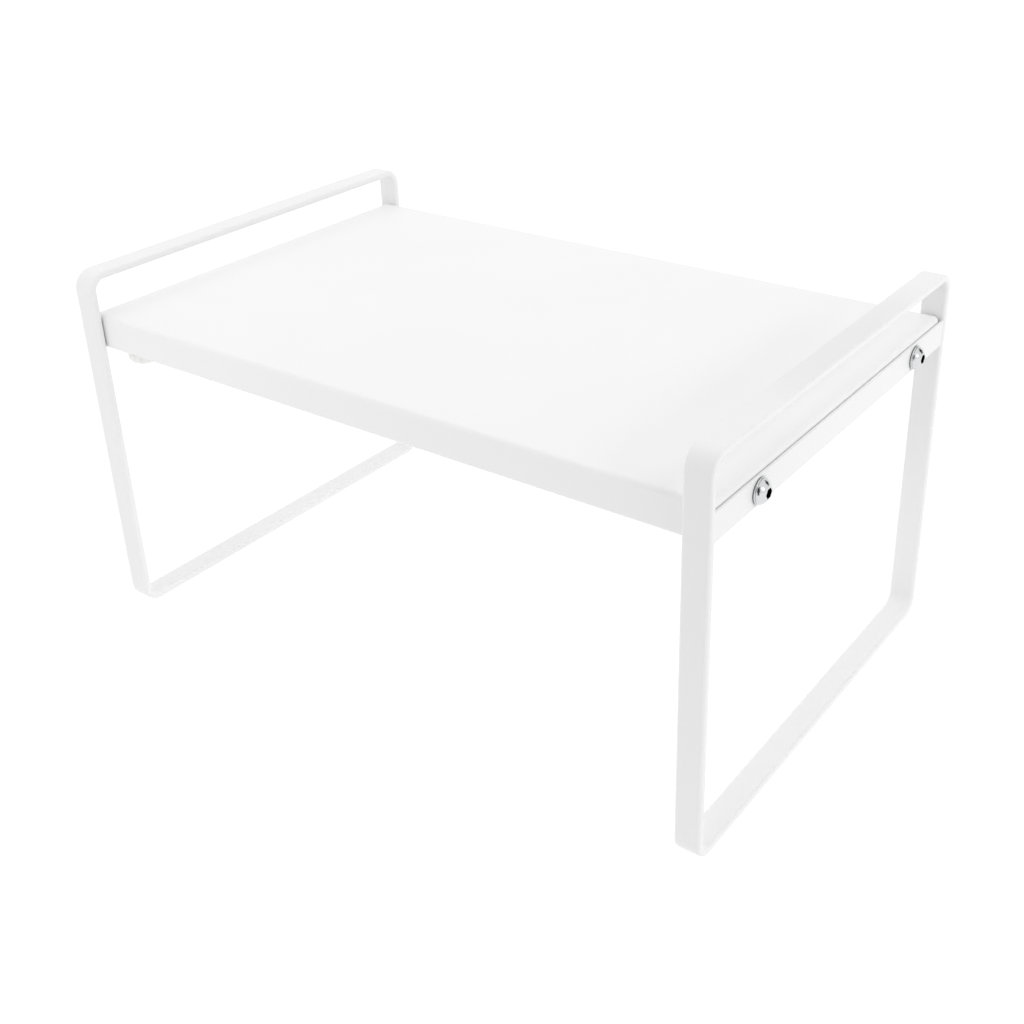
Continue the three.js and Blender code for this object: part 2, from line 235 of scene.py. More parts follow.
def add_node(material, kind, settings, inputs):
    """Adds a node, with its settings by name and its inputs as values or as the sockets that feed them."""
    node = material.node_tree.nodes.new(kind)
    for name, value in settings.items():
        setattr(node, name, value)
    for name, value in inputs.items():
        if isinstance(value, bpy.types.NodeSocket):
            material.node_tree.links.new(value, node.inputs[name])
        else:
            node.inputs[name].default_value = value
    return node


def new_finish(name):
    """A material with an empty node tree."""
    material = bpy.data.materials.new(name)
    material.use_nodes = True
    material.node_tree.nodes.clear()
    return material


def join_surface(material, shader):
    """Sends a shader to the material's output."""
    add_node(material, "ShaderNodeOutputMaterial", {}, {"Surface": shader.outputs["BSDF"]})
    return material


print("a white of the coat in linear light:", [round(c, 3) for c in linear("#ECECEC")[:3]])

# %% [markdown]
# ### White powder coat
# Polyester powder is sprayed dry on the steel and melted in an oven. It flows out to a satin skin with soft
# waves two or three millimetres wide, called orange peel, and a much finer grain. A flat white could stand in
# for it, but the waves break up the reflections and the coat's thickness shades its white very slightly from
# place to place. The frames' white is a shade deeper than the panels': painted shade that makes the bars look
# less lit. The sliding panel also has faint glossy marks where its mate rubs it.

# %% Powder coat
# the frames' whites are a shade deeper than the panels': painted shade on the bars
FRAME_WHITES_PAINTED_SHADE = ("#E8E8E8", "#ECECEC")
PANEL_WHITES = ("#ECECEC", "#F0F0F0")
SATIN_ROUGHNESS = (0.40, 0.48)
SHADE_WIDTH = 60
PEEL_WIDTH = 2.6
PEEL_HEIGHT = 0.012  # about three times the real height, so that the waves show at all
GRAIN_WIDTH = 0.4  # the real grain is finer than a hair, and this is as fine as shows
GRAIN_HEIGHT = 0.003
RUB_LENGTH = 90
RUB_WIDTH = 0.7
RUB_SHOWS = (0.55, 0.8)  # the values of the noise where a mark starts and where it is full
RUB_POLISH = 0.16


def powder_coat(name, whites, rubbed=False):
    """White satin powder coat, with or without the marks of a sliding panel."""
    coat = new_finish(name)
    place = add_node(coat, "ShaderNodeTexCoord", {}, {}).outputs["Object"]
    shade = add_node(coat, "ShaderNodeTexNoise", {}, {"Vector": place, "Scale": 1 / (SHADE_WIDTH * MM)})
    white = add_node(coat, "ShaderNodeValToRGB", {}, {"Fac": shade.outputs["Fac"]})
    white.color_ramp.elements[0].color = linear(whites[0])
    white.color_ramp.elements[1].color = linear(whites[1])
    peel = add_node(coat, "ShaderNodeTexNoise", {}, {
        "Vector": place, "Scale": 1 / (PEEL_WIDTH * MM), "Detail": 1})
    grain = add_node(coat, "ShaderNodeTexNoise", {}, {
        "Vector": place, "Scale": 1 / (GRAIN_WIDTH * MM), "Detail": 2})
    waves = add_node(coat, "ShaderNodeBump", {}, {
        "Height": peel.outputs["Fac"], "Distance": PEEL_HEIGHT * MM})
    skin = add_node(coat, "ShaderNodeBump", {}, {
        "Height": grain.outputs["Fac"], "Distance": GRAIN_HEIGHT * MM, "Normal": waves.outputs["Normal"]})
    gloss = add_node(coat, "ShaderNodeMapRange", {}, {
        "Value": shade.outputs["Fac"], "To Min": SATIN_ROUGHNESS[0], "To Max": SATIN_ROUGHNESS[1]})
    if rubbed:
        along = add_node(coat, "ShaderNodeMapping", {"vector_type": "POINT"}, {
            "Vector": place, "Scale": (1 / (RUB_LENGTH * MM), 1 / (RUB_WIDTH * MM), 1 / (RUB_LENGTH * MM))})
        rub = add_node(coat, "ShaderNodeTexNoise", {}, {
            "Vector": along.outputs["Vector"], "Scale": 1, "Detail": 3})
        polish = add_node(coat, "ShaderNodeMapRange", {}, {
            "Value": rub.outputs["Fac"], "From Min": RUB_SHOWS[0], "From Max": RUB_SHOWS[1],
            "To Min": 0, "To Max": RUB_POLISH})
        gloss = add_node(coat, "ShaderNodeMath", {"operation": "SUBTRACT"}, {
            0: gloss.outputs["Result"], 1: polish.outputs["Result"]})
    shader = add_node(coat, "ShaderNodeBsdfPrincipled", {}, {
        "Base Color": white.outputs["Color"], "Roughness": gloss.outputs[0], "IOR": 1.5,
        "Normal": skin.outputs["Normal"]})
    return join_surface(coat, shader)


# painted shade: the frames get the deeper whites
frame_coat_painted_shade = powder_coat("frame_powder_coat_painted_shade", FRAME_WHITES_PAINTED_SHADE)
panel_coat = powder_coat("panel_powder_coat", PANEL_WHITES)
rubbed_coat = powder_coat("rubbed_panel_powder_coat", PANEL_WHITES, rubbed=True)
print("powder coat:", PEEL_WIDTH, "mm peel,", GRAIN_WIDTH, "mm grain")

# %% [markdown]
# ### Nickel-plated steel
# The bolts, washers, nuts and lock studs are turned or pressed from steel and plated bright. Plating is thin,
# so the rings of the tool still show in it, and the eye reads them as a fan of light on each flat end. The
# rings need the distance from each piece's own axis, so every fastener carries a small map of its
# cross-section in millimetres. Shade is painted in near black: inside the hex sockets, and on the back half
# of the washers' rims, where they meet the strip. The pieces mark those faces.

# %% Plated steel
BRIGHT_STEEL = "#DCDDDE"
# near black: painted shade for the hex sockets and the back of the washers' rims
PAINTED_SHADE_STEEL = "#161616"
STEEL_ROUGHNESS = (0.1, 0.24)
RING_WIDTH = 0.22  # real rings lie closer, and these still show close up
RING_HEIGHT = 0.004
CROSS_SECTION_MAP = "cross_section"
# the mark of the faces that get painted shade
PAINTED_SHADE_MARK = "painted_shade"


def plated_steel():
    """Bright nickel plating over turned steel, with painted shade on the faces that are marked for it."""
    steel = new_finish("nickel_plated_steel")
    section = add_node(steel, "ShaderNodeUVMap", {"uv_map": CROSS_SECTION_MAP}, {})
    radius = add_node(steel, "ShaderNodeVectorMath", {"operation": "LENGTH"}, {0: section.outputs["UV"]})
    rings = add_node(steel, "ShaderNodeTexNoise", {"noise_dimensions": "1D"}, {
        "W": radius.outputs["Value"], "Scale": 1 / RING_WIDTH, "Detail": 2})
    tool_marks = add_node(steel, "ShaderNodeBump", {}, {
        "Height": rings.outputs["Fac"], "Distance": RING_HEIGHT * MM})
    # painted shade: marked faces turn near black
    painted_shade = add_node(steel, "ShaderNodeAttribute", {"attribute_name": PAINTED_SHADE_MARK}, {})
    tone = add_node(steel, "ShaderNodeValToRGB", {}, {"Fac": painted_shade.outputs["Fac"]})
    tone.color_ramp.elements[0].color = linear(BRIGHT_STEEL)
    tone.color_ramp.elements[1].color = linear(PAINTED_SHADE_STEEL)
    gloss = add_node(steel, "ShaderNodeMapRange", {}, {
        "Value": rings.outputs["Fac"], "To Min": STEEL_ROUGHNESS[0], "To Max": STEEL_ROUGHNESS[1]})
    shader = add_node(steel, "ShaderNodeBsdfPrincipled", {}, {
        "Base Color": tone.outputs["Color"], "Metallic": 1, "Roughness": gloss.outputs["Result"],
        "Normal": tool_marks.outputs["Normal"]})
    return join_surface(steel, shader)


bright_steel = plated_steel()
print("plated steel: rings", RING_WIDTH, "mm apart")

# %% [markdown]
# ### Moulded nylon
# The knobs of the locks are white nylon, moulded in a spark-eroded steel tool that leaves an even matt skin,
# a little creamier than the powder coat. A noise of the tool's grit makes the skin.

# %% Moulded nylon
NYLON_WHITES = ("#ECECEA", "#F0F0EE")
GRIT_WIDTH = 0.25  # real grit is finer, and this still shows close up
GRIT_HEIGHT = 0.008


def moulded_nylon():
    """White nylon with the matt skin of its mould."""
    nylon = new_finish("moulded_white_nylon")
    place = add_node(nylon, "ShaderNodeTexCoord", {}, {}).outputs["Object"]
    grit = add_node(nylon, "ShaderNodeTexNoise", {}, {
        "Vector": place, "Scale": 1 / (GRIT_WIDTH * MM), "Detail": 2})
    skin = add_node(nylon, "ShaderNodeBump", {}, {
        "Height": grit.outputs["Fac"], "Distance": GRIT_HEIGHT * MM})
    tone = add_node(nylon, "ShaderNodeValToRGB", {}, {"Fac": grit.outputs["Fac"]})
    tone.color_ramp.elements[0].color = linear(NYLON_WHITES[0])
    tone.color_ramp.elements[1].color = linear(NYLON_WHITES[1])
    shader = add_node(nylon, "ShaderNodeBsdfPrincipled", {}, {
        "Base Color": tone.outputs["Color"], "Roughness": 0.5, "IOR": 1.53,
        "Normal": skin.outputs["Normal"]})
    return join_surface(nylon, shader)


white_nylon = moulded_nylon()
print("nylon: grit", GRIT_WIDTH, "mm")

# %% [markdown]
# ## Finishing a piece
# A finished piece is shaded smooth, with its flat faces kept flat by weighted normals. It takes the place of
# its node in the frame, moves with that node's body and gets its finish. A piece that repeats is modelled
# once. Each copy has its own mesh, turned and moved to where its node stands.

# %% Finishing and copying
SMOOTH_BELOW = math.radians(35)


def smooth(piece):
    """Shades a piece smooth, with sharp creases and flat faces kept."""
    bpy.ops.object.select_all(action="DESELECT")
    bpy.context.view_layer.objects.active = piece
    piece.select_set(True)
    bpy.ops.object.shade_smooth_by_angle(angle=SMOOTH_BELOW)
    weighted = piece.modifiers.new("flat_faces", "WEIGHTED_NORMAL")
    weighted.keep_sharp = True
    bpy.ops.object.modifier_apply(modifier=weighted.name)
    return piece


def copy_piece(piece, name, move, half_turn=False):
    """A copy with its own mesh, turned half round the upright axis where asked, then moved."""
    bpy.ops.object.select_all(action="DESELECT")
    bpy.context.view_layer.objects.active = piece
    piece.select_set(True)
    bpy.ops.object.duplicate(linked=False)
    copy = bpy.context.active_object
    copy.name = name
    if half_turn:
        bpy.ops.transform.rotate(value=math.pi, orient_axis="Z", center_override=(0, 0, 0))
    bpy.ops.transform.translate(value=move)
    bpy.ops.object.transform_apply(location=True, rotation=True, scale=True)
    return copy


def place_piece(piece, node, material):
    """Gives a piece its finish and lets it stand for its node."""
    piece.data.materials.clear()
    piece.data.materials.append(material)
    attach(piece, BODY_OF[node])
    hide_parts(node)
    print(piece.name, "on", BODY_OF[node] + ":", len(piece.data.polygons), "faces")


def offset(node, copied_node):
    """How far the lowest corner of one node lies from that of another."""
    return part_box(node)[0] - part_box(copied_node)[0]


print("smooth below", round(math.degrees(SMOOTH_BELOW)), "degrees")

# %% [markdown]
# ## Side frames
# Each end of the shelf is one length of 11.2 x 3.4 mm flat bar, bent at four corners and welded into a
# closed loop. A profile could be swept along a path, but a block is quicker: its four long edges are bevelled
# to the radius of the bends, its two ends are inset by the thickness of the bar, and bridging the inset faces
# opens the window. Rolled bar has rounded edges, so all outlines are bevelled last.

# %% Side frames
BEND_RADIUS = 8.4
BEND_STEPS = 16
BAR_EDGE = 1.3
EDGE_STEPS = 5


def bent_loop():
    """The right side frame, bent from flat bar."""
    low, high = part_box("right_frame_loop")
    leg_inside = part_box("right_crossbar")[1].y
    loop = add_block("right_frame_loop_coated", low, high)
    with editing(loop):
        pick(loop, "edges", lambda edge: runs_along(edge, 0))
        bpy.ops.mesh.bevel(offset=BEND_RADIUS * MM, segments=BEND_STEPS, affect="EDGES")
        pick(loop, "faces", lambda face: abs(face.normal.x) > ALIGNED)
        bpy.ops.mesh.inset(thickness=high.y - leg_inside)
        bpy.ops.mesh.bridge_edge_loops()
    round_sharp_edges(loop, BAR_EDGE, EDGE_STEPS)
    return smooth(loop)


right_loop = bent_loop()
left_loop = copy_piece(right_loop, "left_frame_loop_coated", offset("left_frame_loop", "right_frame_loop"))
place_piece(right_loop, "right_frame_loop", frame_coat_painted_shade)
place_piece(left_loop, "left_frame_loop", frame_coat_painted_shade)

# %% [markdown]
# ## Crossbars
# A flat strip is welded between the legs of each loop and coated together with it, so no gap shows where they
# meet. The loop stands half a millimetre proud of the strip, and the strip reaches into the rounded edge of
# each leg, as the weld does. Its long edges are eased, and two holes take the bolts. The strip at the sliding
# end sits lower by the thickness of the panel above it, and is otherwise the same.

# %% Crossbars
CROSSBAR_EDGE = 0.4
BOLT_RADIUS = 2.5
HOLE_GAP = 0.3
CUT_PAST = Vector((20 * MM, 0, 0))


def centre(node):
    """The middle of a node's box."""
    low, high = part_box(node)
    return (low + high) / 2


def drill_bolt_holes(piece, side):
    """Cuts the two bolt holes of one side through a piece."""
    for spot in (centre(f"{side}_front_bolt"), centre(f"{side}_rear_bolt")):
        cut(piece, add_rod(BOLT_RADIUS + HOLE_GAP, spot - CUT_PAST, spot + CUT_PAST))


def welded_crossbar():
    """The strip between the legs of the right loop."""
    low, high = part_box("right_crossbar")
    weld = Vector((0, BAR_EDGE * MM, 0))
    strip = add_block("right_crossbar_coated", low - weld, high + weld)
    with editing(strip):
        pick(strip, "edges", lambda edge: runs_along(edge, 1))
        bpy.ops.mesh.bevel(offset=CROSSBAR_EDGE * MM, segments=EDGE_STEPS, affect="EDGES")
    drill_bolt_holes(strip, "right")
    return smooth(strip)


right_strip = welded_crossbar()
left_strip = copy_piece(right_strip, "left_crossbar_coated", offset("left_crossbar", "right_crossbar"))
place_piece(right_strip, "right_crossbar", frame_coat_painted_shade)
place_piece(left_strip, "left_crossbar", frame_coat_painted_shade)

# %% [markdown]
# ## Panels
# The shelf is two pans of 1 mm sheet, folded on a press brake: three sides turn down, the fourth stays open
# as a mouth, and the two long skirts turn in again as lips. The smaller pan slides in the mouth of the larger
# one. A solid could be hollowed out, but the way of the brake is nearer to the real thing. A block loses its
# bottom and its mouth, its corners are bevelled, the skirts' lower edges are spun through a quarter turn and
# drawn out into lips, and a modifier gives the skin its thickness.

# %% Panels
SHEET = 1
TOP_EDGE_RADIUS = 2.2
TOP_EDGE_STEPS = 7
CORNER_RADIUS = 2.5
CORNER_STEPS = 8
FOLD_RADIUS = 1.5
FOLD_STEPS = 6
LIP_SETBACK = 6.5
LIP_PAST_LOCK = {"outer_panel": 8, "inner_panel": 7}
ALONG_X = Vector((1, 0, 0))


def folded_pan(node, mouth):
    """One pan, with its open end towards +X where mouth is 1 and towards -X where it is -1."""
    low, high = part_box(node)
    hem = low.z + FOLD_RADIUS * MM
    mouth_x, closed_x = (high.x, low.x) if mouth > 0 else (low.x, high.x)
    lip_end = closed_x + mouth * LIP_SETBACK * MM
    pan = add_block(f"{node}_coated", Vector((low.x, low.y, hem)), high)
    with editing(pan):
        pick(pan, "faces", lambda face: face.normal.z < -ALIGNED or face.normal.x * mouth > ALIGNED)
        bpy.ops.mesh.delete(type="FACE")
        pick(pan, "edges", lambda edge: runs_along(edge, 2) and abs(middle(edge).x - closed_x) < NEAR)
        bpy.ops.mesh.bevel(offset=CORNER_RADIUS * MM, segments=CORNER_STEPS, affect="EDGES")
        pick(pan, "edges", lambda edge: abs(middle(edge).z - high.z) < NEAR
             and abs(middle(edge).x - mouth_x) > NEAR)
        bpy.ops.mesh.bevel(offset=TOP_EDGE_RADIUS * MM, segments=TOP_EDGE_STEPS, affect="EDGES")
        bpy.ops.mesh.select_all(action="SELECT")
        bpy.ops.mesh.bisect(plane_co=(lip_end, 0, 0), plane_no=ALONG_X)
        for face_y, inward in ((low.y, 1), (high.y, -1)):
            fold_lip(pan, face_y, inward, hem, lip_end, mouth, LIP_PAST_LOCK[node])
        bpy.ops.mesh.select_all(action="SELECT")
        bpy.ops.mesh.normals_make_consistent(inside=False)
    thicken(pan)
    return pan


def fold_lip(pan, face_y, inward, hem, lip_end, mouth, past_lock):
    """Folds the lower edge of a long skirt in and draws it out past the locks."""
    lock_y = abs(centre("front_lock_stud").y)
    fold_y = face_y + inward * FOLD_RADIUS * MM
    lip_edge = -inward * (lock_y - past_lock * MM)
    pick(pan, "edges", lambda edge: abs(middle(edge).z - hem) < NEAR
         and abs(middle(edge).y - face_y) < NEAR and (middle(edge).x - lip_end) * mouth > 0)
    bpy.ops.mesh.spin(steps=FOLD_STEPS, angle=-inward * math.pi / 2, center=(0, fold_y, hem), axis=ALONG_X)
    bpy.ops.mesh.extrude_edges_move(TRANSFORM_OT_translate={"value": (0, lip_edge - fold_y, 0)})


def thicken(pan):
    """Gives the skin of a pan the thickness of its sheet, on the inside."""
    sheet = pan.modifiers.new("sheet", "SOLIDIFY")
    sheet.thickness = SHEET * MM
    sheet.offset = -1
    sheet.use_even_offset = True
    bpy.context.view_layer.objects.active = pan
    bpy.ops.object.modifier_apply(modifier=sheet.name)


outer_pan = folded_pan("outer_panel", mouth=-1)
inner_pan = folded_pan("inner_panel", mouth=1)
print("pans:", len(outer_pan.data.polygons), "and", len(inner_pan.data.polygons), "faces before the holes")

# %% [markdown]
# ### Holes and slots
# The closed ends are drilled for the bolts. The outer pan's lips have a round hole for each lock stud, and
# the inner pan's lips have a slot as long as the travel, in which the stud runs while the shelf is drawn out.
# Holes are cut into the finished sheet, as a drill would, and every cut edge is then eased a little, as the
# coat does.

# %% Holes and slots
STUD_RADIUS = 2.5
SLOT_END_GAP = 0.2
SLOT_END_STEPS = 12
SLOT_ROUNDING = 0.9999  # of half the width: the two roundings of an end come close and don't cross
TRAVEL = 190
CUT_EDGE = 0.2
CUT_EDGE_STEPS = 2
CUT_UP = Vector((0, 0, 20 * MM))


def slot_cutter(first_middle, length, radius):
    """An upright block with two round ends, from one middle to another along X."""
    reach = Vector((radius * MM, radius * MM, 0))
    last_middle = first_middle + length * MM * ALONG_X
    block = add_block("slot", first_middle - reach - CUT_UP / 4, last_middle + reach + CUT_UP / 4)
    with editing(block):
        pick(block, "edges", lambda edge: runs_along(edge, 2))
        bpy.ops.mesh.bevel(offset=radius * MM * SLOT_ROUNDING, segments=SLOT_END_STEPS, affect="EDGES")
    return block


for lock in ("front", "rear"):
    stud = centre(f"{lock}_lock_stud")
    cut(outer_pan, add_rod(STUD_RADIUS + HOLE_GAP, stud - CUT_UP / 2, stud))
    slot_start = Vector((stud.x - SLOT_END_GAP * MM, stud.y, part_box("inner_panel")[0].z))
    cut(inner_pan, slot_cutter(slot_start, TRAVEL + 2 * SLOT_END_GAP, STUD_RADIUS + HOLE_GAP))
drill_bolt_holes(outer_pan, "right")
drill_bolt_holes(inner_pan, "left")
for pan, node, coat in ((outer_pan, "outer_panel", panel_coat), (inner_pan, "inner_panel", rubbed_coat)):
    round_sharp_edges(pan, CUT_EDGE, CUT_EDGE_STEPS)
    place_piece(smooth(pan), node, coat)

# %% [markdown]
# ## Turned pieces
# Bolts, washers, studs and knobs are round about an axis, so each one is drawn as half of its outline and
# spun. The outline is a list of places along the axis and radii, both in millimetres. Threads and flutes are
# then pushed into the surface: each vertex moves towards the axis by an amount that depends on its angle and
# its place along the axis.

# %% Turning
ACROSS_Y = Vector((0, 1, 0))
TURN_STEPS = 64


def turned(name, outline, start, axis, steps=TURN_STEPS):
    """Spins an outline of (along, radius) in mm round an axis through start."""
    points = [start + (along * axis + radius * ACROSS_Y) * MM for along, radius in outline]
    bpy.ops.object.select_all(action="DESELECT")
    bpy.ops.mesh.primitive_plane_add(size=MM, location=points[0])
    bpy.ops.object.transform_apply(location=True, rotation=True, scale=True)
    piece = bpy.context.active_object
    piece.name = name
    with editing(piece):
        bpy.ops.mesh.merge(type="CENTER")
        for here, there in zip(points, points[1:]):
            bpy.ops.mesh.extrude_vertices_move(TRANSFORM_OT_translate={"value": there - here})
        bpy.ops.mesh.select_all(action="SELECT")
        bpy.ops.mesh.spin(steps=steps, angle=2 * math.pi, center=start, axis=axis)
        bpy.ops.mesh.select_all(action="SELECT")
        bpy.ops.mesh.remove_doubles(threshold=NEAR / 10)
        bpy.ops.mesh.normals_make_consistent(inside=False)
    return piece


def press_in(piece, start, axis, depth_at):
    """Moves each vertex towards the axis by the depth for its place along, radius and angle, all in mm."""
    across = axis.cross(ACROSS_Y)
    for vertex in piece.data.vertices:
        out = vertex.co - start
        along = out.dot(axis)
        out -= along * axis
        angle = math.atan2(out.dot(across), out.dot(ACROSS_Y))
        if out.length > NEAR:
            depth = depth_at(along / MM, out.length / MM, angle) * MM
            vertex.co -= depth * out.normalized()


def thread(pitch, depth, first, last, radius):
    """The depth of a thread that runs out at both ends, for press_in."""
    def depth_at(along, distance, angle):
        if distance < radius - NEAR or not first <= along <= last:
            return 0
        turn = (along / pitch + angle / (2 * math.pi)) % 1
        run_out = min(1, (along - first) / pitch, (last - along) / pitch)
        return depth * run_out * (1 - abs(2 * turn - 1))
    return depth_at


def map_cross_section(piece, start, axis):
    """Writes each corner's place across the axis, in mm, as the map that the steel's rings follow."""
    across = axis.cross(ACROSS_Y)
    section = piece.data.uv_layers.new(name=CROSS_SECTION_MAP)
    for corner in piece.data.loops:
        out = (piece.data.vertices[corner.vertex_index].co - start) / MM
        section.data[corner.index].uv = (out.dot(ACROSS_Y), out.dot(across))


print("turned pieces have", TURN_STEPS, "sides")

# %% [markdown]
# ## Bolts
# Button-head bolts hold the panels to the frames. The head is a low dome with a flat crown, pressed with a
# hex socket, and the shank is an M5 thread. The dome is part of a sphere, so its outline is stepped along an
# arc. The socket is a six-sided rod cut from the crown, and its faces are marked for painted shade.

# %% Bolts
HEAD_RADIUS = 4.75
HEAD_HEIGHT = 2.75
HEAD_RIM = 0.4
HEAD_EASE = 0.15
CROWN_RADIUS = 2.4
DOME_STEP = 0.2
BOLT_LENGTH = 10
BOLT_TIP = 0.5
PLAIN_SHANK = 0.5
PITCH = 0.8
THREAD_DEPTH = 0.4
THREAD_STEP = 0.1
SOCKET_FLATS = 3.7
SOCKET_DEPTH = 1.7
SOCKET_REACH = 0.57 * SOCKET_FLATS  # just short of the socket's corners
SOCKET_MARGIN = 0.1  # so that the socket's floor counts as inside it
BELOW_CROWN = 0.99 * HEAD_HEIGHT  # the crown itself lies above this


def steps_between(start, end, step):
    """Evenly spaced places from start to end."""
    count = round(abs(end - start) / step)
    return [start + (end - start) * number / count for number in range(count + 1)]


def dome_outline():
    """The arc of a ball from the rim of the head to its crown."""
    rise = HEAD_HEIGHT - HEAD_RIM
    ball_middle = HEAD_HEIGHT - (HEAD_RADIUS ** 2 - CROWN_RADIUS ** 2 + rise ** 2) / (2 * rise)
    ball = math.hypot(CROWN_RADIUS, HEAD_HEIGHT - ball_middle)
    radii = steps_between(HEAD_RADIUS, CROWN_RADIUS, DOME_STEP)
    return [(ball_middle + math.sqrt(ball ** 2 - radius ** 2), radius) for radius in radii]


def along_and_out(point, start):
    """How far a point lies from start along X, and how far out from that axis, in mm."""
    step = (point - start) / MM
    return step.x, math.hypot(step.y, step.z)


def mark_socket_painted_shade(bolt, under_head):
    """Marks the faces inside the hex socket for painted shade."""
    mark = bolt.data.attributes.new(PAINTED_SHADE_MARK, "FLOAT", "FACE")
    for face in bolt.data.polygons:
        along, out = along_and_out(face.center, under_head)
        in_depth = HEAD_HEIGHT - SOCKET_DEPTH - SOCKET_MARGIN < along < BELOW_CROWN
        # the socket's faces get painted shade
        mark.data[face.index].value = in_depth and out < SOCKET_REACH


def button_bolt(name, under_head):
    """A bolt with its head towards +X."""
    tip = [(-BOLT_LENGTH, 0), (-BOLT_LENGTH, BOLT_RADIUS - BOLT_TIP)]
    shank = [(along, BOLT_RADIUS) for along in steps_between(BOLT_TIP - BOLT_LENGTH, 0, THREAD_STEP)]
    brim = [(0, HEAD_RADIUS - HEAD_EASE), (HEAD_EASE, HEAD_RADIUS)]
    bolt = turned(name, tip + shank + brim + dome_outline() + [(HEAD_HEIGHT, 0)], under_head, ALONG_X)
    winding = thread(PITCH, THREAD_DEPTH, -BOLT_LENGTH, -PLAIN_SHANK, BOLT_RADIUS)
    press_in(bolt, under_head, ALONG_X, winding)
    crown = under_head + HEAD_HEIGHT * MM * ALONG_X
    socket_floor = crown - SOCKET_DEPTH * MM * ALONG_X
    cut(bolt, add_rod(SOCKET_FLATS / math.sqrt(3), socket_floor, crown + MM * ALONG_X, sides=6))
    mark_socket_painted_shade(bolt, under_head)
    map_cross_section(bolt, under_head, ALONG_X)
    return smooth(bolt)


def on_bolt_axis(x):
    """The place on the axis of the right front bolt at one X."""
    axis = centre("right_front_bolt")
    return Vector((x, axis.y, axis.z))


washer_back, washer_face = [corner.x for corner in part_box("right_front_washer")]
first_bolt = button_bolt("right_front_bolt_plated", on_bolt_axis(washer_face))
print("bolt:", len(first_bolt.data.polygons), "faces")

# %% [markdown]
# ## Washers
# A washer is a ring stamped from strip. The back half of its rim, against the strip, gets painted shade, so
# the outline has a point where the shaded half meets the bright one. The coat of nickel eases the edges.

# %% Washers
WASHER_RADIUS = 5
WASHER_THICKNESS = 1
WASHER_EDGE = 0.2
WASHER_EDGE_STEPS = 3
# the back band of the rim and how strongly it gets painted shade
SHADED_RIM_BAND = 0.5
RIM_PAINTED_SHADE = 0.8
RIM_DEPTH = 0.15
RIM_TILT = 0.7  # a face that looks along the axis more than this is not on the rim


def mark_rim_painted_shade(washer, back):
    """Marks the back band of a washer's rim for painted shade."""
    mark = washer.data.attributes.new(PAINTED_SHADE_MARK, "FLOAT", "FACE")
    for face in washer.data.polygons:
        along, out = along_and_out(face.center, back)
        on_rim = out > WASHER_RADIUS - RIM_DEPTH and abs(face.normal.x) < RIM_TILT
        # the back band of the rim, against the strip, gets painted shade
        if on_rim and along < SHADED_RIM_BAND:
            mark.data[face.index].value = RIM_PAINTED_SHADE


def stamped_washer(name, back):
    """A ring with eased edges."""
    hole = BOLT_RADIUS + HOLE_GAP
    ring = [(0, hole), (0, WASHER_RADIUS), (SHADED_RIM_BAND, WASHER_RADIUS), (WASHER_THICKNESS, WASHER_RADIUS),
            (WASHER_THICKNESS, hole), (0, hole)]
    washer = turned(name, ring, back, ALONG_X)
    round_sharp_edges(washer, WASHER_EDGE, WASHER_EDGE_STEPS)
    mark_rim_painted_shade(washer, back)
    map_cross_section(washer, back, ALONG_X)
    return smooth(washer)


first_washer = stamped_washer("right_front_washer_plated", on_bolt_axis(washer_back))
print("washer:", len(first_washer.data.polygons), "faces")

# %% [markdown]
# ## Hex nuts
# Behind each closed end a nut takes the bolt. A nut is cut from hexagonal bar and its corners are turned off
# at thirty degrees on both faces. The same happens here: a turned blank is met with a six-sided rod and
# bored.

# %% Hex nuts
NUT_FLATS = 8
NUT_HEIGHT = 4
NUT_FACE_RADIUS = 3.75
NUT_BLANK_RADIUS = 5
NUT_CHAMFER = (NUT_BLANK_RADIUS - NUT_FACE_RADIUS) * math.tan(math.radians(30))
BORE_GAP = 0.05


def hex_nut(name, back):
    """A nut along X with corners up to the front and the rear."""
    blank = [(0, 0), (0, NUT_FACE_RADIUS), (NUT_CHAMFER, NUT_BLANK_RADIUS),
             (NUT_HEIGHT - NUT_CHAMFER, NUT_BLANK_RADIUS), (NUT_HEIGHT, NUT_FACE_RADIUS), (NUT_HEIGHT, 0)]
    nut = turned(name, blank, back, ALONG_X)
    hexagon = add_rod(NUT_FLATS / math.sqrt(3), back - CUT_PAST, back + CUT_PAST, sides=6)
    cut(nut, hexagon, operation="INTERSECT")
    cut(nut, add_rod(BOLT_RADIUS + BORE_GAP, back - CUT_PAST, back + CUT_PAST))
    map_cross_section(nut, back, ALONG_X)
    return smooth(nut)


first_nut = hex_nut("right_front_nut_plated", on_bolt_axis(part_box("right_front_nut")[0].x))
print("nut:", len(first_nut.data.polygons), "faces")

# %% [markdown]
# ### Four of each
# The left end is the right end turned half round, so a bolt copied to the left rear is turned, not mirrored,
# and its thread keeps its hand.

# %% Copies of the fasteners
for first, kind in ((first_bolt, "bolt"), (first_washer, "washer"), (first_nut, "nut")):
    low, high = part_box(f"right_front_{kind}")
    for node in (f"right_rear_{kind}", f"left_front_{kind}", f"left_rear_{kind}"):
        turned_round = node.startswith("left")
        start = Vector((-high.x, -high.y, low.z)) if turned_round else low
        copy = copy_piece(first, f"{node}_plated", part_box(node)[0] - start, half_turn=turned_round)
        place_piece(copy, node, bright_steel)
    place_piece(first, f"right_front_{kind}", bright_steel)

# %% [markdown]
# ## Slide locks
# A thumb screw under each long edge keeps the shelf at its length. Its knob is moulded round a steel stud,
# with a well-rounded lower rim and twelve shallow flutes that give the thumb a hold. The lower face is
# dished, as thick mouldings are, with a nub in the middle where the plastic came in. A knob could be a
# cylinder with twelve rods cut from it, but a moulded flute has no sharp edge, and a wave round the rim gives
# that at once.

